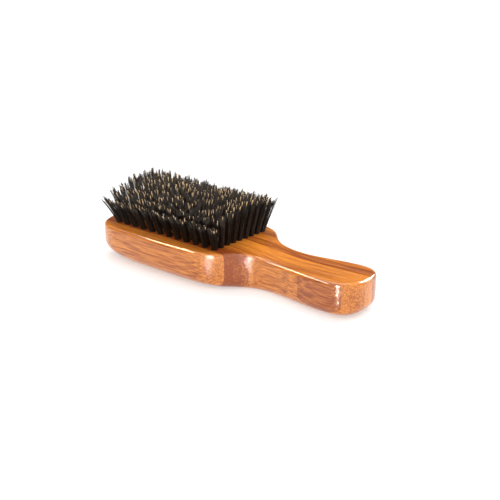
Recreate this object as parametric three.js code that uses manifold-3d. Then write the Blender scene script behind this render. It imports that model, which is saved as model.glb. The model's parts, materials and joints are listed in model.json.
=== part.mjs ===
// Beard brush: a club-shaped body of glued bamboo strips, with tufts of bristle set in blind holes.
// Millimetres. +X runs from the head to the butt of the handle, +Z is the side that the bristles are on.
// The origin is on the underside, at the middle of the length and of the width.
import * as THREE from 'three';
import { mergeVertices } from 'three/addons/utils/BufferGeometryUtils.js';
import Module from 'manifold-3d';

const wasm = await Module();
wasm.setup();

// Board, seen from above. Distances along the board are measured from the end of the head.
const boardLength = 180.5;
const headWidth = 65.6;
const headSideBow = 0.7;       // the side of the head is this much wider at its middle than at its corner
const headEndReach = 27;       // how far from its end the head begins to round off
const headEndFullness = 0.76;  // 0.55 rounds the end off to an ellipse, 1 leaves it square
const shoulderStart = 85;      // where the side of the head begins to turn in
const shoulderDrop = 1.2;      // how far it has turned in there
const neckInflection = 104;    // where the shoulder's outward curve becomes the waist's inward curve
const neckWidth = 44;
const neckSteepness = 2.4;     // how much steeper the outline is there than on average down to the waist
const waistAt = 124;
const waistWidth = 25.6;
const buttWidth = 33.8;
const buttEndReach = 16;
const buttEndFullness = 0.69;

// Board, seen from the side and from the end.
const boardThickness = 21.6;
const handleDip = 2.4;         // the handle's top is this much lower than the head's at its lowest point
const dipAt = 136;
const buttDip = 1.5;           // and this much lower at the butt
const headRise = 5.5;          // the underside lifts at both ends
const headRiseLength = 39;
const buttRise = 1.6;
const buttRiseLength = 53.5;
const crownRise = 3.2;         // and curves up towards the sides of the head
const flatUndersideWidth = 16;
const topEdgeRadius = 2;
const bottomEdgeRadius = 6;

// Strips that the board is glued up from.
const stripWidth = 6.8;

// Bristle field.
const tuftRows = 12;           // along the head
const tuftsPerRow = 9;         // across it
const rowPitch = 7.05;
const tuftPitch = 5.2;
const fieldMargin = 15.2;      // from the end of the head to the first row
const holeRadius = 1.9;
const holeDepth = 10;
const tuftClearance = 0.3;
const bristleHeight = 22;      // above the face of the board, at the middle of the field
const endDrop = 1.2;           // the tips are trimmed to a dome: this much lower at both ends of the field
const sideDrop = 4.4;          // and this much lower at both sides
const splay = 5;               // how far the tips of the corner tufts lean out, along and across
const tipOverlap = 0.55;       // neighbouring tufts of a row run into each other by this much at their tips
const rowGap = 1.2;            // left between the tips of two rows

const curveSteps = 8;
const edgeSteps = 3;
const roundSides = 8;
const spare = 5;               // how far a cutting block reaches past the board

const headEnd = -boardLength / 2;
const buttEnd = boardLength / 2;
const faceEnd = headEnd + fieldMargin + (tuftRows - 1) * rowPitch + holeRadius + 1;

// A geometry becomes a solid once its shared corners are merged and its collapsed triangles are dropped.
function toSolid(geometry) {
  geometry.deleteAttribute('normal');
  geometry.deleteAttribute('uv');
  const merged = mergeVertices(geometry, 1e-4);
  const index = merged.index.array;
  const triangles = [];
  for (let i = 0; i < index.length; i += 3) {
    const [a, b, c] = [index[i], index[i + 1], index[i + 2]];
    if (a !== b && b !== c && c !== a) triangles.push(a, b, c);
  }
  return new wasm.Manifold(new wasm.Mesh({
    numProp: 3,
    vertProperties: new Float32Array(merged.attributes.position.array),
    triVerts: new Uint32Array(triangles),
  }));
}

function toGeometry(solid) {
  const mesh = solid.getMesh();
  const geometry = new THREE.BufferGeometry();
  geometry.setAttribute('position', new THREE.BufferAttribute(mesh.vertProperties, 3));
  geometry.setIndex(new THREE.BufferAttribute(mesh.triVerts, 1));
  geometry.computeVertexNormals();
  return geometry;
}

// Axes of an outline that is drawn flat and then stood up: its x, its y and the way it is extruded.
const alongX = new THREE.Vector3(1, 0, 0);
const alongY = new THREE.Vector3(0, 1, 0);
const alongZ = new THREE.Vector3(0, 0, 1);
const seenFromSide = new THREE.Matrix4().makeBasis(alongX, alongZ, alongY.clone().negate());
const seenFromEnd = new THREE.Matrix4().makeBasis(alongY, alongZ, alongX);

// One side of the board's outline, from the middle of the head's end to the middle of the butt.
function halfOutline() {
  const headHalf = headWidth / 2;
  const cornerHalf = headHalf - headSideBow;
  const shoulderHalf = headHalf - shoulderDrop;
  const neckHalf = neckWidth / 2;
  const waistHalf = waistWidth / 2;
  const buttHalf = buttWidth / 2;
  const cornerX = headEnd + headEndReach;
  const shoulderX = headEnd + shoulderStart;
  const neckX = headEnd + neckInflection;
  const waistX = headEnd + waistAt;
  const buttX = buttEnd - buttEndReach;
  const bowReach = (shoulderX - cornerX) / 3;
  const shoulderReach = (neckX - shoulderX) / 2;
  const waistReach = (waistX - neckX) / 4;
  const flareReach = (buttX - waistX) / 3;
  const neckSlope = (neckHalf - waistHalf) / (waistX - neckX) * neckSteepness;
  const path = new THREE.Path();
  path.moveTo(headEnd, 0);
  path.bezierCurveTo(headEnd, cornerHalf * headEndFullness,
    cornerX - headEndReach * headEndFullness, cornerHalf, cornerX, cornerHalf);
  path.bezierCurveTo(cornerX + bowReach, headHalf + headSideBow / 3,
    shoulderX - bowReach, headHalf + shoulderDrop / 3, shoulderX, shoulderHalf);
  path.bezierCurveTo(shoulderX + shoulderReach, shoulderHalf - shoulderDrop,
    neckX - waistReach, neckHalf + waistReach * neckSlope, neckX, neckHalf);
  path.bezierCurveTo(neckX + waistReach, neckHalf - waistReach * neckSlope,
    waistX - 2 * waistReach, waistHalf, waistX, waistHalf);
  path.bezierCurveTo(waistX + flareReach, waistHalf, buttX - flareReach, buttHalf, buttX, buttHalf);
  path.bezierCurveTo(buttX + buttEndReach * buttEndFullness, buttHalf,
    buttEnd, buttHalf * buttEndFullness, buttEnd, 0);
  return path.getPoints(curveSteps);
}

function boardOutline() {
  const side = halfOutline();
  const otherSide = side.slice(1, -1).reverse().map((point) => new THREE.Vector2(point.x, -point.y));
  return new THREE.Shape([...side, ...otherSide]);
}

// The outline stood up as a block whose lowest edge, or highest, is rounded.
function outlineBlock(edgeRadius, lowest) {
  const block = new THREE.ExtrudeGeometry(boardOutline(), {
    depth: boardThickness + spare,
    bevelThickness: edgeRadius,
    bevelSize: edgeRadius,
    bevelOffset: -edgeRadius,
    bevelSegments: edgeSteps,
  });
  block.translate(0, 0, lowest + edgeRadius);
  return toSolid(block);
}

// The board's long profile: a flat face under the bristles, a dip along the handle, an underside that
// is flat in the middle and lifts at both ends.
function profileBlock() {
  const dipX = headEnd + dipAt;
  const dipTop = boardThickness - handleDip;
  const buttTop = boardThickness - buttDip;
  const dipReach = (dipX - faceEnd) / 2;
  const tailReach = (buttEnd - dipX) / 2;
  const profile = new THREE.Shape();
  profile.moveTo(headEnd, headRise);
  profile.quadraticCurveTo(headEnd + headRiseLength / 2, 0, headEnd + headRiseLength, 0);
  profile.lineTo(buttEnd - buttRiseLength, 0);
  profile.quadraticCurveTo(buttEnd - buttRiseLength / 2, 0, buttEnd, buttRise);
  profile.lineTo(buttEnd, buttTop);
  profile.bezierCurveTo(buttEnd - tailReach, buttTop, dipX + tailReach, dipTop, dipX, dipTop);
  profile.bezierCurveTo(dipX - dipReach, dipTop, faceEnd + dipReach, boardThickness, faceEnd, boardThickness);
  profile.lineTo(headEnd, boardThickness);
  const block = new THREE.ExtrudeGeometry(profile, {
    depth: headWidth + 2 * spare,
    bevelEnabled: false,
    curveSegments: curveSteps,
  });
  block.applyMatrix4(seenFromSide);
  block.translate(0, headWidth / 2 + spare, 0);
  return toSolid(block);
}

// The head's section: an underside that curves up towards both sides.
function crownBlock() {
  const flatHalf = flatUndersideWidth / 2;
  const headHalf = headWidth / 2;
  const curveHalf = (flatHalf + headHalf) / 2;
  const top = boardThickness + spare;
  const section = new THREE.Shape();
  section.moveTo(-headHalf, crownRise);
  section.quadraticCurveTo(-curveHalf, 0, -flatHalf, 0);
  section.lineTo(flatHalf, 0);
  section.quadraticCurveTo(curveHalf, 0, headHalf, crownRise);
  section.lineTo(headHalf + spare, crownRise);
  section.lineTo(headHalf + spare, top);
  section.lineTo(-headHalf - spare, top);
  section.lineTo(-headHalf - spare, crownRise);
  const block = new THREE.ExtrudeGeometry(section, {
    depth: boardLength + 2 * spare,
    bevelEnabled: false,
    curveSegments: curveSteps,
  });
  block.applyMatrix4(seenFromEnd);
  block.translate(headEnd - spare, 0, 0);
  return toSolid(block);
}

// Where each tuft stands, how tall it is, and how far its tip leans out.
function tuftPlace(row, place) {
  const along = row - (tuftRows - 1) / 2;
  const across = place - (tuftsPerRow - 1) / 2;
  return {
    x: headEnd + fieldMargin + row * rowPitch,
    y: across * tuftPitch,
    height: bristleHeight - endDrop * (2 * along / (tuftRows - 1)) ** 2
      - sideDrop * (2 * across / (tuftsPerRow - 1)) ** 2,
    leanX: along * 2 * splay / (tuftRows - 1),
    leanY: across * 2 * splay / (tuftsPerRow - 1),
  };
}

function tuftHole(row, place) {
  const { x, y } = tuftPlace(row, place);
  const hole = new THREE.CylinderGeometry(
    holeRadius, holeRadius, holeDepth + spare, roundSides, 1, false, Math.PI / roundSides);
  hole.rotateX(Math.PI / 2);
  hole.translate(x, y, boardThickness - holeDepth + (holeDepth + spare) / 2);
  return toSolid(hole);
}

// A tuft is straight in its hole, and above the face it spreads and leans out.
function tuft(row, place) {
  const { x, y, height, leanX, leanY } = tuftPlace(row, place);
  const footRadius = holeRadius - tuftClearance;
  const footEnd = boardThickness - holeDepth + tuftClearance;
  const tipEnd = boardThickness + height;
  const tipPitchX = rowPitch + 2 * splay / (tuftRows - 1);
  const tipPitchY = tuftPitch + 2 * splay / (tuftsPerRow - 1);
  const flatShare = Math.cos(Math.PI / roundSides);
  const tipRadiusX = (tipPitchX - rowGap) / 2;
  const tipRadiusY = (tipPitchY / 2 + tipOverlap) / flatShare;
  const geometry = new THREE.LatheGeometry([
    new THREE.Vector2(0, footEnd),
    new THREE.Vector2(footRadius, footEnd),
    new THREE.Vector2(footRadius, boardThickness),
    new THREE.Vector2(1, tipEnd),
    new THREE.Vector2(0, tipEnd),
  ], roundSides, Math.PI / roundSides);
  geometry.rotateX(Math.PI / 2);
  const position = geometry.attributes.position;
  for (let i = 0; i < position.count; i += 1) {
    if (position.getZ(i) > boardThickness + height / 2) {
      position.setX(i, position.getX(i) * tipRadiusX + leanX);
      position.setY(i, position.getY(i) * tipRadiusY + leanY);
    }
  }
  geometry.translate(x, y, 0);
  return toSolid(geometry);
}

function drilledBoard() {
  let board = outlineBlock(bottomEdgeRadius, 0)
    .intersect(outlineBlock(topEdgeRadius, -spare - 2 * topEdgeRadius))
    .intersect(profileBlock())
    .intersect(crownBlock());
  for (let row = 0; row < tuftRows; row += 1) {
    for (let place = 0; place < tuftsPerRow; place += 1) board = board.subtract(tuftHole(row, place));
  }
  return board;
}

const brush = new THREE.Group();

function addPiece(name, solid, look) {
  const mesh = new THREE.Mesh(toGeometry(solid), new THREE.MeshStandardMaterial(look));
  mesh.name = name;
  brush.add(mesh);
}

const lightBamboo = { color: 0xd9964f, roughness: 0.25, metalness: 0 };
const darkBamboo = { color: 0xc27a35, roughness: 0.25, metalness: 0 };
const boarBristle = { color: 0x231a18, roughness: 0.55, metalness: 0 };

// The board is sawn along its glue lines, the middle strip lying on the centre line. Strips are named
// and counted outwards from the middle, left being +Y. A strip that the waist cuts through comes out
// as two lengths, each of which is a piece.
function addStrips() {
  const stripsPerSide = Math.ceil(headWidth / 2 / stripWidth - 0.5);
  let rest = drilledBoard();
  for (let strip = -stripsPerSide; strip <= stripsPerSide; strip += 1) {
    let sawn = rest;
    if (strip < stripsPerSide) [rest, sawn] = rest.splitByPlane([0, 1, 0], (strip + 0.5) * stripWidth);
    const side = strip > 0 ? 'left' : 'right';
    const name = strip === 0 ? 'bamboo_strip_middle' : `bamboo_strip_${side}_${Math.abs(strip)}`;
    const look = strip % 2 === 0 ? lightBamboo : darkBamboo;
    sawn.decompose().forEach((length, order) => {
      addPiece(order === 0 ? name : `${name}_length_${order + 1}`, length, look);
    });
  }
}

// The tufts of a row across the head run into each other at their tips, so each row is one piece.
function addBristleRows() {
  for (let row = 0; row < tuftRows; row += 1) {
    let bristles = tuft(row, 0);
    for (let place = 1; place < tuftsPerRow; place += 1) bristles = bristles.add(tuft(row, place));
    addPiece(`bristle_row_${row + 1}`, bristles, boarBristle);
  }
}

addStrips();
addBristleRows();

export default brush;
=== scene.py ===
import json
import math
import random

import bmesh
import bpy
from mathutils import Matrix, Vector


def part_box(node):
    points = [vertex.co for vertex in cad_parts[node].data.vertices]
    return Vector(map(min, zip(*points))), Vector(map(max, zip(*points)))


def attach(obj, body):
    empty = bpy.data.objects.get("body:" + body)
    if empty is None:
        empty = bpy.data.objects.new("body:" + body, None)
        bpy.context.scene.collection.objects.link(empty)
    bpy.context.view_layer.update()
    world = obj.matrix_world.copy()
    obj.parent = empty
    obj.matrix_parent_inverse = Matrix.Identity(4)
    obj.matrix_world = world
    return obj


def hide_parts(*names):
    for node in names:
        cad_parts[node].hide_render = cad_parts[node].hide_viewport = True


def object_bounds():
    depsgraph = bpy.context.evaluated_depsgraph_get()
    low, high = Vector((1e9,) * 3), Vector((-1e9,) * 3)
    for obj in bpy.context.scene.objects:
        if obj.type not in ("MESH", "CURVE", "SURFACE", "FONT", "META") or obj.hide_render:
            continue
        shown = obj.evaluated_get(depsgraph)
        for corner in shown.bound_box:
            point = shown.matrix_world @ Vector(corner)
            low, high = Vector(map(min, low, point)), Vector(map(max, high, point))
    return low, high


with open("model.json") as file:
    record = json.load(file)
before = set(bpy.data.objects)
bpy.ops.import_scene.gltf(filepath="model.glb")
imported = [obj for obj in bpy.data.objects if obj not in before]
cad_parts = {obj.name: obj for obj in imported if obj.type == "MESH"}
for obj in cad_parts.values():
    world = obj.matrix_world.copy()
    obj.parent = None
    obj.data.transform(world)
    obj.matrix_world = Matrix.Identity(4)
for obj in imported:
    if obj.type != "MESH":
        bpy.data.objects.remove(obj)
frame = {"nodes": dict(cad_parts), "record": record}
cadLow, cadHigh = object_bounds()
mm = 0.001
touching = 1e-6  # metres: points closer than this are one
stripNodes = sorted(name for name in frame["nodes"] if name.startswith("bamboo_strip"))
rowNodes = sorted((name for name in frame["nodes"] if name.startswith("bristle_row")),
                  key=lambda name: int(name.split("_")[-1]))
print(f"frame loaded: {len(stripNodes)} strips and {len(rowNodes)} rows of bristle")


# small tools used by every piece

def pickOnly(*pieces):
    bpy.ops.object.select_all(action="DESELECT")
    for piece in pieces:
        piece.select_set(True)
    bpy.context.view_layer.objects.active = pieces[0]
    return pieces[0]


def editPiece(piece, selectMode="VERT"):
    pickOnly(piece)
    bpy.ops.object.mode_set(mode="EDIT")
    bpy.ops.mesh.select_mode(type=selectMode)


def leaveEdit():
    bpy.ops.object.mode_set(mode="OBJECT")


def selectEdges(piece, wanted):
    mesh = bmesh.from_edit_mesh(piece.data)
    bpy.ops.mesh.select_all(action="DESELECT")
    for edge in mesh.edges:
        edge.select_set(all(wanted(vertex.co) for vertex in edge.verts))
    bmesh.update_edit_mesh(piece.data)


def cutAcross(axis, places):  # in edit mode: a row of loops through the whole mesh
    for place in places:
        bpy.ops.mesh.select_all(action="SELECT")
        bpy.ops.mesh.bisect(plane_co=axis * place, plane_no=axis, threshold=touching)


def copyPiece(piece, name):
    twin = piece.copy()
    twin.data = piece.data.copy()
    twin.name = twin.data.name = name
    bpy.context.scene.collection.objects.link(twin)
    return twin


def joinPieces(pieces, name):
    pickOnly(*pieces)
    bpy.ops.object.join()
    pieces[0].name = pieces[0].data.name = name
    return pieces[0]


def steps(start, end, step):
    count = max(1, math.ceil((end - start) / step))
    return [start + (end - start) * i / count for i in range(1, count)]


def smooth(share):
    share = min(max(share, 0), 1)
    return share * share * (3 - 2 * share)


# materials

def linear(hexColour):
    parts = [int(hexColour[i:i + 2], 16) / 255 for i in (1, 3, 5)]
    return [*(p / 12.92 if p <= 0.04045 else ((p + 0.055) / 1.055) ** 2.4 for p in parts), 1]


def addNode(tree, kind, settings=None, values=None, links=None):
    node = tree.nodes.new("ShaderNode" + kind)
    for name, value in (settings or {}).items():
        if name == "stops":  # colour ramp: the first two stops are there already
            ramp = node.color_ramp
            for i, (position, colour) in enumerate(value):
                stop = ramp.elements[i] if i < 2 else ramp.elements.new(position)
                stop.position = position
                stop.color = colour
        else:
            setattr(node, name, value)
    for socket, value in (values or {}).items():
        node.inputs[socket].default_value = value
    for socket, source in (links or {}).items():
        tree.links.new(source, node.inputs[socket])
    return node


def newMaterial(name):
    material = bpy.data.materials.new(name)
    material.use_nodes = True
    tree = material.node_tree
    shader = tree.nodes["Principled BSDF"]
    return material, tree, shader


def grey(value):
    return value, value, value, 1


bamboo = {
    "topPaleHex": "#E48A2E", "topDeepHex": "#8E3E0D",    # the two ends that a strip's tone lies between, on the board's top and on its sides; the sides' pair is a little paler and less saturated: painted reflection of the white floor
    "sidePaleHex": "#DE8B3A", "sideDeepHex": "#8E4215",  # on the board's top and on its sides
    "fleckHex": "#7A3C1A",
    "broad": (110, 9, 14), "broadChange": 0.14,       # mm along, across and through: slow changes of tone
    "streak": (26, 0.7, 0.9), "streakChange": 0.42,   # bundles of fibre, drawn a little wide to show
    "detail": {"broad": 2, "streak": 4, "fleck": 2}, "noiseRoughness": 0.6,
    "noiseSpan": (0.35, 0.65),   # most of a noise pattern lies between these
    "fleck": (7, 0.55, 0.6),     # dark ends of the vessels
    "fleckSpan": (0.56, 0.66), "fleckDepth": 0.3,
    "fibreHeight": 0.1, "fibreBump": 0.35,   # mm, the fibres' relief
    "ripple": 2.5, "rippleHeight": 0.1, "rippleBump": 0.02,   # mm, slight waves in the lacquer
    "poreDepth": 0.35, "poreBump": 0.65,     # mm, open vessels under the lacquer on the sides
    "roughness": 0.4, "specular": 0.06,
    "anisotropy": 0.9, "fibreTurn": 0.25,    # fibres spread a shine across the grain
    "lacquerRoughness": 0.05, "lacquerIor": 1.5,
}


def lacqueredBamboo(name):
    # Caramel laminated bamboo, planed along the fibre and sprayed with clear gloss lacquer: warm streaks
    # and short dark dashes along the grain under a smooth, hard shine.
    b = bamboo
    material, tree, shader = newMaterial(name)
    place = addNode(tree, "TexCoord").outputs["Object"]
    patterns = {}
    for pattern, detail in b["detail"].items():
        scale = [1 / (size * mm) for size in b[pattern]]
        spread = addNode(tree, "Mapping", values={"Scale": scale}, links={"Vector": place})
        noise = addNode(tree, "TexNoise",
                        values={"Scale": 1, "Detail": detail, "Roughness": b["noiseRoughness"]},
                        links={"Vector": spread.outputs["Vector"]})
        patterns[pattern] = noise.outputs["Fac"]
    tone = addNode(tree, "Attribute", {"attribute_name": "tone"}).outputs["Fac"]  # the strip's own
    for pattern in ("broad", "streak"):
        change = b[pattern + "Change"]
        shade = addNode(tree, "MapRange",
                        values={"From Min": b["noiseSpan"][0], "From Max": b["noiseSpan"][1],
                                "To Min": -change, "To Max": change},
                        links={"Value": patterns[pattern]})
        tone = addNode(tree, "Math", {"operation": "ADD"},
                       links={0: tone, 1: shade.outputs["Result"]}).outputs[0]
    # the top and the sides get separate colour pairs: the sides' paler, less saturated pair is a painted
    # reflection of the white floor on the upright faces, mixed in by onTop
    colours = {}
    for face in ("top", "side"):
        ends = [(0, linear(b[face + "PaleHex"])), (1, linear(b[face + "DeepHex"]))]
        colours[face] = addNode(tree, "ValToRGB", {"stops": ends}, links={"Fac": tone}).outputs["Color"]
    onTop = addNode(tree, "Attribute", {"attribute_name": "onTop"}).outputs["Fac"]
    woodWithSideReflection = addNode(tree, "Mix", {"data_type": "RGBA"},
                   links={0: onTop, 6: colours["side"], 7: colours["top"]})
    dash = addNode(tree, "MapRange",
                   values={"From Min": b["fleckSpan"][0], "From Max": b["fleckSpan"][1],
                           "To Min": 0, "To Max": b["fleckDepth"]},
                   links={"Value": patterns["fleck"]})
    colour = addNode(tree, "Mix", {"data_type": "RGBA"}, values={7: linear(b["fleckHex"])},
                     links={0: dash.outputs["Result"], 6: woodWithSideReflection.outputs[2]})
    fibres = addNode(tree, "Bump", values={"Strength": b["fibreBump"], "Distance": b["fibreHeight"] * mm},
                     links={"Height": patterns["streak"]})
    ripple = addNode(tree, "TexNoise", values={"Scale": 1 / (b["ripple"] * mm), "Detail": 1},
                     links={"Vector": place})
    wave = addNode(tree, "Bump", values={"Strength": b["rippleBump"], "Distance": b["rippleHeight"] * mm},
                   links={"Height": ripple.outputs["Fac"]})
    onSide = addNode(tree, "Math", {"operation": "SUBTRACT"}, values={0: b["poreBump"]}, links={1: onTop})
    pores = addNode(tree, "Bump", values={"Distance": b["poreDepth"] * mm},
                    links={"Height": patterns["fleck"], "Strength": onSide.outputs[0],
                           "Normal": wave.outputs["Normal"]})
    tree.links.new(colour.outputs[2], shader.inputs["Base Color"])
    tree.links.new(fibres.outputs["Normal"], shader.inputs["Normal"])
    tree.links.new(pores.outputs["Normal"], shader.inputs["Coat Normal"])
    shader.inputs["Roughness"].default_value = b["roughness"]
    shader.inputs["Specular IOR Level"].default_value = b["specular"]
    shader.inputs["Anisotropic"].default_value = b["anisotropy"]
    shader.inputs["Anisotropic Rotation"].default_value = b["fibreTurn"]
    shader.inputs["Coat Weight"].default_value = 1
    shader.inputs["Coat Roughness"].default_value = b["lacquerRoughness"]
    shader.inputs["Coat IOR"].default_value = b["lacquerIor"]
    return material


bristleHair = {
    "darkHex": "#0E0805", "brownHex": "#302014", "paleHex": "#FFD8A6",
    "brownFrom": 0.25,    # bristles below this share are the darkest
    "paleShare": 0.055,   # share of the bristles whose split ends are pale
    "paleFrom": 0.91,     # how far up a bristle the pale end starts
    "fade": 0.05,
    "roughness": 0.4, "specular": 0.15,
}


def boarBristle():
    # Boar bristle, cut and combed: near-black stiff hairs with a waxy sheen, a few fading to cream ends.
    b = bristleHair
    material, tree, shader = newMaterial("boarBristle")
    along = addNode(tree, "Attribute", {"attribute_name": "along"}).outputs["Fac"]
    hair = addNode(tree, "Attribute", {"attribute_name": "hair"}).outputs["Fac"]
    shades = [(b["brownFrom"], linear(b["darkHex"])), (1, linear(b["brownHex"]))]
    shaft = addNode(tree, "ValToRGB", {"stops": shades}, links={"Fac": hair})
    isPale = addNode(tree, "Math", {"operation": "LESS_THAN"}, values={1: b["paleShare"]}, links={0: hair})
    tip = addNode(tree, "MapRange",
                  values={"From Min": b["paleFrom"] - b["fade"], "From Max": b["paleFrom"] + b["fade"]},
                  links={"Value": along})
    fade = addNode(tree, "Math", {"operation": "MULTIPLY"},
                   links={0: isPale.outputs[0], 1: tip.outputs["Result"]})
    colour = addNode(tree, "Mix", {"data_type": "RGBA"}, values={7: linear(b["paleHex"])},
                     links={0: fade.outputs[0], 6: shaft.outputs["Color"]})
    tree.links.new(colour.outputs[2], shader.inputs["Base Color"])
    shader.inputs["Roughness"].default_value = b["roughness"]
    shader.inputs["Specular IOR Level"].default_value = b["specular"]
    return material


bambooFinish = {"bamboo_light": lacqueredBamboo("lacqueredBambooLight"),
                "bamboo_dark": lacqueredBamboo("lacqueredBambooDark")}
bristleFinish = boarBristle()
print("materials made")


# board: outline in mm, x from the end of the head and y from the middle

board = {
    "headBow": 0.7, "headReach": 27, "headFullness": 0.76,
    "shoulderAt": 85, "shoulderDrop": 1.2,
    "neckAt": 104, "neckHalf": 22, "neckSlope": 1.1,
    "waistAt": 124, "waistHalf": 12.8,
    "buttHalf": 16.9, "buttReach": 16, "buttFullness": 0.69,
    "topEdge": 2, "topEdgeSteps": 6, "bottomEdge": 6, "bottomEdgeSteps": 8,
    "dip": 2.4, "dipAt": 136, "buttDip": 1.5,   # how far the handle's top drops below the head's
    "headRise": 5.5, "headRiseLength": 39,       # the underside lifts at both ends
    "buttRise": 1.6, "buttRiseLength": 53.5,
    "crownRise": 3.2, "flatHalf": 8,            # and towards the sides
    "curveSteps": 18, "cutEvery": 3.5,          # how finely the outline and the length are divided
    "smoothAngle": 32,
}
length = (cadHigh.x - cadLow.x) / mm
headHalf = (cadHigh.y - cadLow.y) / 2 / mm
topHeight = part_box("bamboo_strip_middle")[1].z / mm

field = {  # tuft holes, mm
    "rows": len(rowNodes), "across": 9, "rowPitch": 7.05, "tuftPitch": 5.2,
    "margin": 15.2, "holeRadius": 1.9, "holeDepth": 10, "holeSides": 20,
    "landing": 1,   # level wood past the last row
}
stripTones = {  # 0 pale to 1 deep
    "middle": 0.2, "left_1": 0.85, "left_2": 0.35, "left_3": 0.7, "left_4": 0.3, "left_5": 0.6,
    "right_1": 0.4, "right_2": 0.4, "right_3": 1.05, "right_4": 0.35, "right_5": 0.5,
}
reflectionPatch = {  # a deeper tone on the handle's near side: a painted dark reflection in the lacquer
    "strip": "right_2", "from": 15.1, "blend": 0.05, "tone": 0.8,
}


def outlineSide():
    b = board
    cornerHalf = headHalf - b["headBow"]
    shoulderHalf = headHalf - b["shoulderDrop"]
    bow = (b["shoulderAt"] - b["headReach"]) / 3
    shoulder = (b["neckAt"] - b["shoulderAt"]) / 2
    neck = (b["waistAt"] - b["neckAt"]) / 4
    buttAt = length - b["buttReach"]
    flare = (buttAt - b["waistAt"]) / 3
    return [  # handle before, point, handle after
        [(0, -cornerHalf * b["headFullness"]), (0, 0), (0, cornerHalf * b["headFullness"])],
        [(b["headReach"] * (1 - b["headFullness"]), cornerHalf), (b["headReach"], cornerHalf),
         (b["headReach"] + bow, headHalf + b["headBow"] / 3)],
        [(b["shoulderAt"] - bow, headHalf + b["shoulderDrop"] / 3), (b["shoulderAt"], shoulderHalf),
         (b["shoulderAt"] + shoulder, shoulderHalf - b["shoulderDrop"])],
        [(b["neckAt"] - neck, b["neckHalf"] + neck * b["neckSlope"]), (b["neckAt"], b["neckHalf"]),
         (b["neckAt"] + neck, b["neckHalf"] - neck * b["neckSlope"])],
        [(b["waistAt"] - 2 * neck, b["waistHalf"]), (b["waistAt"], b["waistHalf"]),
         (b["waistAt"] + flare, b["waistHalf"])],
        [(buttAt - flare, b["buttHalf"]), (buttAt, b["buttHalf"]),
         (buttAt + b["buttReach"] * b["buttFullness"], b["buttHalf"])],
        [(length, b["buttHalf"] * b["buttFullness"]), (length, 0),
         (length, -b["buttHalf"] * b["buttFullness"])],
    ]


def drawOutline():
    left = outlineSide()
    right = [[(x, -y) for x, y in reversed(point)] for point in reversed(left[1:-1])]
    bpy.ops.object.select_all(action="DESELECT")
    bpy.ops.curve.primitive_bezier_circle_add(radius=headHalf * mm)
    outline = bpy.context.object
    spline = outline.data.splines[0]
    spline.bezier_points.add(len(left + right) - len(spline.bezier_points))
    for knot, point in zip(spline.bezier_points, left + right):
        knot.handle_left_type = knot.handle_right_type = "FREE"
        knot.handle_left, knot.co, knot.handle_right = [
            (cadLow.x + x * mm, y * mm, 0) for x, y in point]
    outline.data.resolution_u = board["curveSteps"]
    bpy.ops.object.convert(target="MESH")
    return bpy.context.object


def push(piece, name, distance, weightAt):  # moves the top or the underside by a painted weight
    group = piece.vertex_groups.new(name=name)
    for vertex in piece.data.vertices:
        group.add([vertex.index], min(max(weightAt(vertex.co), 0), 1), "REPLACE")
    pickOnly(piece)
    bpy.ops.object.modifier_add(type="DISPLACE")
    lift = piece.modifiers[-1]
    lift.direction = "Z"
    lift.mid_level = 0
    lift.strength = distance * mm
    lift.vertex_group = name
    bpy.ops.object.modifier_apply(modifier=lift.name)
    piece.vertex_groups.remove(piece.vertex_groups[name])


def dipAt(place):
    x = (place.x - cadLow.x) / mm
    if place.z < topHeight * mm / 2:
        return 0
    lastRow = field["margin"] + (field["rows"] - 1) * field["rowPitch"]
    fieldEnd = lastRow + field["holeRadius"] + field["landing"]
    if x < board["dipAt"]:
        return smooth((x - fieldEnd) / (board["dipAt"] - fieldEnd))
    rise = smooth((x - board["dipAt"]) / (length - board["dipAt"]))
    return 1 - rise * (1 - board["buttDip"] / board["dip"])


def undersideAt(place):
    if place.z > topHeight * mm / 2:
        return 0
    b = board
    x, y = (place.x - cadLow.x) / mm, abs(place.y) / mm
    headEnd = max(0, 1 - x / b["headRiseLength"])
    buttEnd = max(0, 1 - (length - x) / b["buttRiseLength"])
    side = max(0, (y - b["flatHalf"]) / (headHalf - b["flatHalf"]))
    rise = b["headRise"] * headEnd ** 2 + b["buttRise"] * buttEnd ** 2 + b["crownRise"] * side ** 2
    return rise / (b["headRise"] + b["crownRise"])


def tuftPlaces():
    for row in range(field["rows"]):
        x = cadLow.x / mm + field["margin"] + row * field["rowPitch"]
        for place in range(field["across"]):
            yield row, place, x, (place - (field["across"] - 1) / 2) * field["tuftPitch"]


def drillHoles(piece):
    bpy.ops.object.select_all(action="DESELECT")
    bpy.ops.mesh.primitive_cylinder_add(vertices=field["holeSides"], radius=field["holeRadius"] * mm,
                                        depth=2 * field["holeDepth"] * mm,
                                        location=(0, 0, topHeight * mm))
    drill = bpy.context.object
    bpy.ops.object.transform_apply(location=True, rotation=True, scale=True)
    drills = []
    for row, place, x, y in tuftPlaces():
        copy = copyPiece(drill, f"drill{row}x{place}")
        copy.data.transform(Matrix.Translation((x * mm, y * mm, 0)))
        drills.append(copy)
    bpy.data.objects.remove(drill)
    drills = joinPieces(drills, "drills")
    pickOnly(piece)
    bpy.ops.object.modifier_add(type="BOOLEAN")
    bore = piece.modifiers[-1]
    bore.operation = "DIFFERENCE"
    bore.solver = "EXACT"
    bore.object = drills
    bpy.ops.object.modifier_apply(modifier=bore.name)
    bpy.data.objects.remove(drills)


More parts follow.
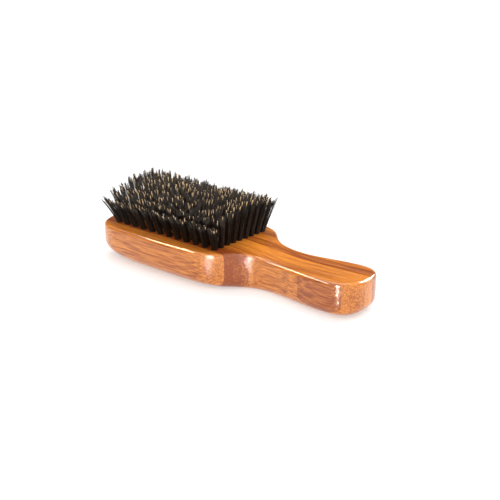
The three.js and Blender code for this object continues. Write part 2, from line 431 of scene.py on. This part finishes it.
def makeBoard():
    piece = drawOutline()
    piece.name = "wholeBoard"
    editPiece(piece, "EDGE")
    bpy.ops.mesh.select_all(action="SELECT")
    bpy.ops.mesh.remove_doubles(threshold=touching)
    bpy.ops.mesh.edge_face_add()
    bpy.ops.mesh.extrude_region_move(TRANSFORM_OT_translate={"value": (0, 0, topHeight * mm)})
    bpy.ops.mesh.select_all(action="SELECT")
    bpy.ops.mesh.normals_make_consistent(inside=False)
    for edge, height in (("topEdge", topHeight), ("bottomEdge", 0)):
        selectEdges(piece, lambda co: abs(co.z - height * mm) < touching)
        bpy.ops.mesh.bevel(offset=board[edge] * mm, segments=board[edge + "Steps"], affect="EDGES",
                           clamp_overlap=False)
    cutAcross(Vector((1, 0, 0)), steps(cadLow.x, cadHigh.x, board["cutEvery"] * mm))
    glueLines = sorted({round(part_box(node)[0].y, 6) for node in stripNodes} - {round(cadLow.y, 6)})
    half = (glueLines[1] - glueLines[0]) / 2
    # cuts along the edge of the painted dark reflection on the handle's side
    patchCuts = [-(reflectionPatch["from"] + more) * mm for more in (reflectionPatch["blend"], -reflectionPatch["blend"])]
    cutAcross(Vector((0, 1, 0)), sorted(glueLines + [line + half for line in glueLines]
                                        + [glueLines[0] - half] + patchCuts))
    leaveEdit()
    push(piece, "dip", -board["dip"], dipAt)
    push(piece, "underside", board["headRise"] + board["crownRise"], undersideAt)
    drillHoles(piece)
    return piece


def toneAt(place, point):
    # past the patch's edge, strip right_2 takes a deeper tone: a painted dark reflection on the handle's
    # near side
    inReflectionPatch = place == reflectionPatch["strip"] and abs(point.y) / mm > reflectionPatch["from"]
    return reflectionPatch["tone"] if inReflectionPatch else stripTones[place]


def onTopAt(point):  # 1 on the top, falling to 0 at the foot of its rounded edge
    top = topHeight - board["dip"] * dipAt(Vector((point.x, 0, topHeight * mm)))
    return smooth((point.z / mm - top + board["topEdge"]) / board["topEdge"])


def sawStrip(whole, node):
    low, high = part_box(node)
    strip = copyPiece(whole, "strip" + node.replace("bamboo_strip", "").title().replace("_", ""))
    editPiece(strip)
    for edge, side in ((low.y, -1), (high.y, 1)):
        if abs(edge) < cadHigh.y - touching:
            bpy.ops.mesh.select_all(action="SELECT")
            bpy.ops.mesh.bisect(plane_co=(0, edge, 0), plane_no=(0, side, 0), use_fill=True,
                                clear_outer=True, threshold=touching)
    leaveEdit()
    place = node.replace("bamboo_strip_", "")
    tone = strip.data.attributes.new("tone", "FLOAT", "POINT")
    tone.data.foreach_set("value", [toneAt(place, vertex.co) for vertex in strip.data.vertices])
    onTop = strip.data.attributes.new("onTop", "FLOAT", "POINT")
    onTop.data.foreach_set("value", [onTopAt(vertex.co) for vertex in strip.data.vertices])
    pickOnly(strip)
    bpy.ops.object.shade_smooth_by_angle(angle=math.radians(board["smoothAngle"]))
    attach(strip, "root")
    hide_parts(node)
    slot = next(part["material_slot"] for part in frame["record"]["subparts"] if part["node"] == node)
    strip.data.materials.clear()
    strip.data.materials.append(bambooFinish[slot])
    return strip


wholeBoard = makeBoard()
strips = [sawStrip(wholeBoard, node) for node in stripNodes]
bpy.data.objects.remove(wholeBoard)
print(f"board sawn into {len(strips)} strips, {sum(len(strip.data.polygons) for strip in strips)} faces")


# bristles: one hair, a few tufts of it, and the tufts planted in rows

bristle = {
    "sides": 4, "rings": [0, 0.35, 0.7, 1],   # the rings lie at these shares of a hair's height
    "rootWidth": 0.32, "tipWidth": 0.2, "bend": 0.4,
    "flagged": 1.5,   # times wider, for pale bristles with their split ends
    "height": 25.2, "rootDepth": 2.5,   # at the middle of the field
    "sideDrop": 5.6, "endRise": 2,      # the field is trimmed to a dome, a little taller at its ends,
    "headRise": 0.4, "leftRise": 3,     # at the head end and on the left
    "pointed": 0.08, "uneven": 0.15,    # share of its height that a strand loses at the rim and by chance
    "ragged": 0.1, "trim": (0.97, 1.02),   # the same for a hair, and how far whole tufts differ
    "perTuft": 96, "tuftKinds": 6,
    "rootRadius": 1.7, "tipRadius": 2.95, "stray": 0.2,
    "strands": 11, "gather": 0.65,      # hairs cling together in pointed strands
    "headLean": 6.5, "handleLean": 4.5, "sideLean": 6,   # mm that the outermost tips lean out
    "loose": 0.25, "bow": 1.15,         # mm that a tuft leans its own way, and how late the lean sets in
    "seed": 11,
}
dice = random.Random(bristle["seed"])


def makeHair():
    bpy.ops.object.select_all(action="DESELECT")
    bpy.ops.mesh.primitive_circle_add(vertices=bristle["sides"], radius=bristle["rootWidth"] / 2 * mm,
                                      fill_type="NGON", location=(0, 0, -bristle["rootDepth"] * mm))
    hair = bpy.context.object
    bpy.ops.object.transform_apply(location=True, rotation=True, scale=True)
    bpy.ops.object.mode_set(mode="EDIT")
    bpy.ops.mesh.select_all(action="SELECT")
    taper = (bristle["tipWidth"] / bristle["rootWidth"]) ** (1 / len(bristle["rings"]))
    before = -bristle["rootDepth"] / bristle["height"]
    offset = 0
    for height in bristle["rings"]:
        sideways = bristle["bend"] * height ** 2
        move = (sideways - offset, 0, (height - before) * bristle["height"])
        bpy.ops.mesh.extrude_region_move(TRANSFORM_OT_translate={"value": [value * mm for value in move]})
        centre = (sideways * mm, 0, height * bristle["height"] * mm)
        bpy.ops.transform.resize(value=(taper, taper, 1), center_override=centre)
        before, offset = height, sideways
    bpy.ops.mesh.select_all(action="SELECT")
    bpy.ops.mesh.normals_make_consistent(inside=False)
    leaveEdit()
    along = hair.data.attributes.new("along", "FLOAT", "POINT")
    along.data.foreach_set("value", [max(0, vertex.co.z / (bristle["height"] * mm))
                                     for vertex in hair.data.vertices])
    hair.data.attributes.new("hair", "FLOAT", "POINT")
    return hair


def spiral(count):  # even places over a circle of radius 1
    turn = math.pi * (3 - math.sqrt(5))
    return [Vector((math.cos(n * turn), math.sin(n * turn), 0)) * math.sqrt((n + 0.5) / count)
            for n in range(count)]


def scatter(size):
    return Vector((dice.gauss(0, size), dice.gauss(0, size), 0))


def makeTuft(hair, kind):
    b = bristle
    strands = [(spot * b["tipRadius"] + scatter(b["stray"] * 2),
                1 - b["pointed"] * spot.length_squared - b["uneven"] * dice.random())
               for spot in spiral(b["strands"])]
    hairs = []
    for n, spot in enumerate(spiral(b["perTuft"])):
        copy = copyPiece(hair, f"hair{kind}x{n}")
        root, tip = spot * b["rootRadius"], spot * b["tipRadius"]
        strandTip, cut = min(strands, key=lambda strand: (strand[0] - tip).length)
        tip = tip.lerp(strandTip, b["gather"]) + scatter(b["stray"])
        lean = (tip - root) / b["height"]
        cut *= dice.uniform(1 - b["ragged"], 1)
        tone = dice.random()
        wide = b["flagged"] if tone < bristleHair["paleShare"] else 1
        shear = Matrix(((wide, 0, lean.x, root.x * mm), (0, wide, lean.y, root.y * mm),
                        (0, 0, cut, 0), (0, 0, 0, 1)))
        turn = Matrix.Rotation(dice.uniform(0, 2 * math.pi), 4, "Z")
        copy.data.transform(shear @ turn)
        copy.data.attributes["hair"].data.foreach_set("value", [tone] * len(copy.data.vertices))
        hairs.append(copy)
    return joinPieces(hairs, f"tuft{kind}")


def plantTuft(tuft, row, place, x, y):  # x and y in mm
    b = bristle
    along = 2 * row / (field["rows"] - 1) - 1
    across = 2 * place / (field["across"] - 1) - 1
    leanX = along * (b["headLean"] if along < 0 else b["handleLean"]) + dice.gauss(0, b["loose"])
    leanY = across * b["sideLean"] + dice.gauss(0, b["loose"])
    height = b["height"] + b["endRise"] * along ** 2 * (1 - across ** 2) - b["sideDrop"] * across ** 2
    height += b["leftRise"] * across - b["headRise"] * along
    stretch = height / b["height"] * dice.uniform(*b["trim"])
    tuft.data.transform(Matrix.Rotation(dice.uniform(0, 2 * math.pi), 4, "Z"))
    for vertex in tuft.data.vertices:
        share = max(vertex.co.z / (b["height"] * mm), 0) ** b["bow"]
        vertex.co.x += (leanX * share + x) * mm
        vertex.co.y += (leanY * share + y) * mm
        vertex.co.z = vertex.co.z * stretch + topHeight * mm


hair = makeHair()
tuftKinds = [makeTuft(hair, kind) for kind in range(bristle["tuftKinds"])]
bpy.data.objects.remove(hair)
print(f"{len(tuftKinds)} kinds of tuft made")

rows = [[] for node in rowNodes]
for row, place, x, y in tuftPlaces():
    tuft = copyPiece(dice.choice(tuftKinds), f"tuft{row}x{place}")
    plantTuft(tuft, row, place, x, y)
    rows[row].append(tuft)
for tuft in tuftKinds:
    bpy.data.objects.remove(tuft)
for node, tufts in zip(rowNodes, rows):
    piece = joinPieces(tufts, "bristles" + node.split("_")[-1])
    piece.data.materials.clear()
    piece.data.materials.append(bristleFinish)
    bpy.ops.object.shade_smooth()
    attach(piece, "root")
    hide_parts(node)
print(f"{len(rows)} rows of {field['across']} tufts planted")


# floor, light and camera

studio = {
    "floorSize": 30, "floorHex": "#C4C4C4", "floorRoughness": 0.9, "floorGlow": 0.42,
    "room": [(0.1, 1.2), (0.2, 0.08), (0.5, 0.08), (0.66, 1.15)],   # height in the room, light there
    "fill": 1.1, "fillFrom": (0.6, -0.8, 0), "fillSpan": (0.1, 0.8),   # light from the front
    "softboxes": {   # degrees round from +X and up, width and height in metres, brightness, colour
        "mainSoftbox": (140, 60, 0.8, 0.8, 2.6, "#FFFFFF"),
        "backSoftbox": (70, 34, 1.1, 0.5, 5, "#FFFFFF"),
    },
    "glints": {      # the same, for lamps that only show in the lacquer
        "edgeGlint": (199, 50, 1.1, 0.2, 26, "#FFEBC4"),
        "cornerGlint": (-79, 20, 0.07, 1.0, 190, "#FFF4E4"),
        "sideGlint": (-78, 6, 0.06, 0.26, 430, "#FFF4E4"),
        "buttGlint": (74, 34, 0.9, 0.7, 16, "#FFF4E4"),
    },
    "softboxDistance": 1.3,
}
camera = {
    "azimuth": 40.05, "elevation": 20, "distance": 481, "aim": (11.6, -1.05, 17.89),   # degrees and mm
    "lens": 61.2, "sensor": 36, "clip": (0.01, 100),
}


def makeFloor():
    bpy.ops.object.select_all(action="DESELECT")
    bpy.ops.mesh.primitive_plane_add(size=studio["floorSize"], location=(0, 0, cadLow.z))
    floor = bpy.context.object
    floor.name = "floor"
    material, tree, shader = newMaterial("litAcrylic")  # a plain white light table
    shader.inputs["Base Color"].default_value = linear(studio["floorHex"])
    shader.inputs["Roughness"].default_value = studio["floorRoughness"]
    shader.inputs["Emission Color"].default_value = grey(1)
    shader.inputs["Emission Strength"].default_value = studio["floorGlow"]
    floor.data.materials.append(material)


def makeRoom():
    world = bpy.data.worlds.new("studio")
    bpy.context.scene.world = world
    world.use_nodes = True
    tree = world.node_tree
    way = addNode(tree, "TexCoord").outputs["Generated"]
    height = addNode(tree, "SeparateXYZ", links={"Vector": way}).outputs["Z"]
    glow = addNode(tree, "ValToRGB", {"stops": [(at, grey(light)) for at, light in studio["room"]]},
                   links={"Fac": height})
    front = addNode(tree, "VectorMath", {"operation": "DOT_PRODUCT"}, values={1: studio["fillFrom"]},
                    links={0: way})
    low, high = studio["fillSpan"]
    fill = addNode(tree, "MapRange", values={"From Min": low, "From Max": high, "To Max": studio["fill"]},
                   links={"Value": front.outputs["Value"]})
    light = addNode(tree, "Math", {"operation": "ADD"},
                    links={0: glow.outputs["Color"], 1: fill.outputs["Result"]})
    tree.links.new(light.outputs[0], tree.nodes["Background"].inputs["Strength"])
    tree.nodes["Background"].inputs["Color"].default_value = grey(1)


def aimed(position, target):
    return (target - position).to_track_quat("-Z", "Y").to_euler()


def makeSoftbox(name, around, up, width, tall, glow, colour):
    around, up = math.radians(around), math.radians(up)
    centre = (cadLow + cadHigh) / 2
    way = Vector((math.cos(around) * math.cos(up), math.sin(around) * math.cos(up), math.sin(up)))
    position = centre + way * studio["softboxDistance"]
    bpy.ops.object.light_add(type="AREA", location=position, rotation=aimed(position, centre))
    light = bpy.context.object
    light.name = name
    light.data.shape = "RECTANGLE"
    light.data.size, light.data.size_y = width, tall
    light.data.energy = glow * math.pi * width * tall
    light.data.color = linear(colour)[:3]
    return light


def makeCamera():
    around, up = math.radians(camera["azimuth"]), math.radians(camera["elevation"])
    way = Vector((math.sin(around) * math.cos(up), -math.cos(around) * math.cos(up), math.sin(up)))
    aim = Vector(camera["aim"]) * mm
    position = aim + way * camera["distance"] * mm
    bpy.ops.object.camera_add(location=position, rotation=aimed(position, aim))
    view = bpy.context.object
    view.data.lens = camera["lens"]
    view.data.sensor_width = camera["sensor"]
    view.data.clip_start, view.data.clip_end = camera["clip"]
    bpy.context.scene.camera = view


makeFloor()
makeRoom()
for name, setting in studio["softboxes"].items():
    makeSoftbox(name, *setting)
for name, setting in studio["glints"].items():
    makeSoftbox(name, *setting).visible_diffuse = False
makeCamera()
bpy.context.scene.view_settings.view_transform = "Standard"
print("studio ready")
